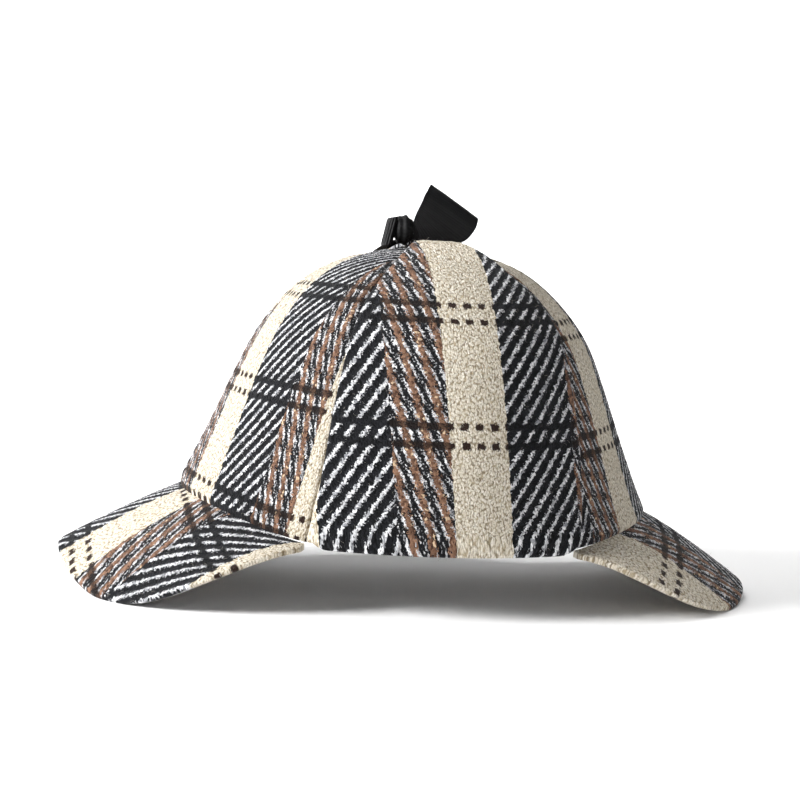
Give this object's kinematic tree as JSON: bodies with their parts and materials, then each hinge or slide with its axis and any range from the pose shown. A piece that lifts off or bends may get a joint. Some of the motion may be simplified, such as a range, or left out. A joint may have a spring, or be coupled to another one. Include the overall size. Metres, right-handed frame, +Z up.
{
  "type": "deerstalker hat",
  "caption": "Soft gored hat in plaid tweed with a stiff peak at front and back, ear flaps folded up over the crown and tied on top in a ribbon bow; open hollow for the head.",
  "frame": {"origin": "centre of the hat's outline on the surface that it stands on, between the two peaks", "axes": "+Z up, -Y towards the front peak, +X towards the wearer's left ear"},
  "size_m": [0.1732, 0.3088, 0.1786],
  "materials": {
    "crown_tweed": "coarse wool-blend tweed in stripes of cream, black and white twill and brown twill, brushed and matt",
    "peak_tweed": "the same plaid tweed over a stiff board, matt, edge turned and stitched",
    "flap_tweed": "the same plaid tweed doubled, folded up over the crown, matt",
    "grosgrain_ribbon": "black grosgrain ribbon with fine cross ribs and a soft sheen"
  },
  "bodies": {
    "root": {"crown_panel_front_left": "crown_tweed", "crown_panel_side_left": "crown_tweed", "crown_panel_back_left": "crown_tweed", "crown_panel_back_right": "crown_tweed", "crown_panel_side_right": "crown_tweed", "crown_panel_front_right": "crown_tweed", "peak_front": "peak_tweed", "peak_back": "peak_tweed", "ear_flap_left": "flap_tweed", "ear_flap_right": "flap_tweed", "bow_loop_back": "grosgrain_ribbon", "bow_loop_front": "grosgrain_ribbon", "bow_tail_front": "grosgrain_ribbon", "bow_tail_back": "grosgrain_ribbon", "bow_knot": "grosgrain_ribbon"}
  },
  "joints": []
}
